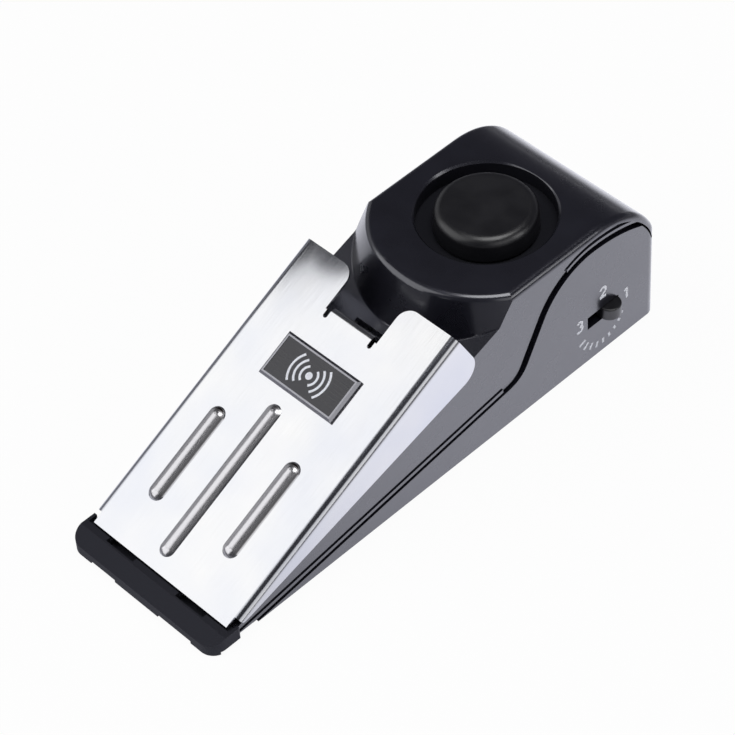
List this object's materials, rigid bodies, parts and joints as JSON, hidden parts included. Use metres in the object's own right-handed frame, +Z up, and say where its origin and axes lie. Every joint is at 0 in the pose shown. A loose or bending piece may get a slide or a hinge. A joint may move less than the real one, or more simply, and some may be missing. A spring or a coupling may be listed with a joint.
{
  "type": "door stop alarm",
  "caption": "Wedge that is pushed under a door: a hinged bright steel plate on its slope presses a plunger, and the round siren in the rear tower sounds.",
  "frame": {"origin": "on the floor, in the middle of the case's length and width, on the bottom of the front grip pad", "axes": "+Y from the toe to the rear, +Z up, +X to the side with the sensitivity switch"},
  "size_m": [0.0511, 0.1506, 0.0442],
  "materials": {
    "black_shell": "glossy black moulded",
    "black_trim": "satin black moulded",
    "steel_plate": "bright polished stainless",
    "badge_metal": "satin chrome",
    "rubber_pad": "ribbed rubber",
    "zinc_screw": "black zinc",
    "spring_steel": "bright",
    "white_plastic": "satin white moulded",
    "brass_part": "bright",
    "ceramic": "fired white",
    "board_green": "solder mask",
    "chip_black": "moulded epoxy",
    "ferrite": "sintered",
    "can_metal": "satin",
    "resistor_body": "lacquered",
    "battery_jacket": "satin printed metal",
    "wire_red": "insulation",
    "wire_black": "insulation"
  },
  "bodies": {
    "case": {"upper_case": "black_shell", "lower_case": "black_shell", "front_grip_pad": "rubber_pad", "rear_grip_feet": "rubber_pad", "case_screws": "zinc_screw", "siren_cap": "black_shell", "sounder_ring": "black_trim", "sounder_disc": "brass_part", "sounder_ceramic": "ceramic", "sounder_leads": "wire_red", "plunger_spring": "spring_steel", "contact_posts": "brass_part", "circuit_board": "board_green", "board_screws": "zinc_screw", "alarm_chip": "chip_black", "chip_pins": "can_metal", "boost_coil_core": "ferrite", "boost_coil_sleeve": "black_trim", "transistor": "chip_black", "transistor_legs": "can_metal", "capacitor": "can_metal", "vibration_sensor": "can_metal", "sensor_pin": "brass_part", "resistors": "resistor_body", "resistor_leads": "can_metal", "battery": "battery_jacket", "battery_rims": "can_metal", "battery_plus_stud": "can_metal", "battery_minus_stud": "can_metal", "snap_connector": "black_trim", "snap_contacts": "can_metal", "battery_lead_red": "wire_red", "battery_lead_black": "wire_black", "sensitivity_switch": "black_trim", "switch_leads": "wire_black", "power_switch": "black_trim", "power_leads": "wire_red"},
    "plate": {"strike_plate": "steel_plate", "badge_frame": "badge_metal", "badge_face": "black_trim"},
    "plunger": {"plunger": "white_plastic", "contact_bridge": "brass_part"},
    "sensitivity_knob": {"sensitivity_knob": "black_shell"},
    "power_knob": {"power_knob": "black_trim"},
    "battery_door": {"battery_door": "black_trim"}
  },
  "joints": [
    {"name": "plate_hinge", "type": "hinge", "parent": "case", "child": "plate", "pos_m": [0, -0.06647, 0.00362], "axis": [1, 0, 0], "range_deg": [-5, 0], "stiffness_Nm_per_rad": 0.5, "springref_deg": 11.46},
    {"name": "plunger_slide", "type": "slide", "parent": "case", "child": "plunger", "axis": [0, 0, 1], "range_m": [-0.0049, 0], "deforming": ["plunger_spring"]},
    {"name": "sensitivity_slide", "type": "slide", "parent": "case", "child": "sensitivity_knob", "axis": [0, 1, 0], "range_m": [-0.0044, 0]},
    {"name": "power_slide", "type": "slide", "parent": "case", "child": "power_knob", "axis": [1, 0, 0], "range_m": [0, 0.003]},
    {"name": "door_slide", "type": "slide", "parent": "case", "child": "battery_door", "axis": [0, 1, 0], "range_m": [0, 0.06]}
  ],
  "couplings": [
    {"joint": "plunger_slide", "follows": "plate_hinge", "m_per_rad": 0.05532}
  ]
}
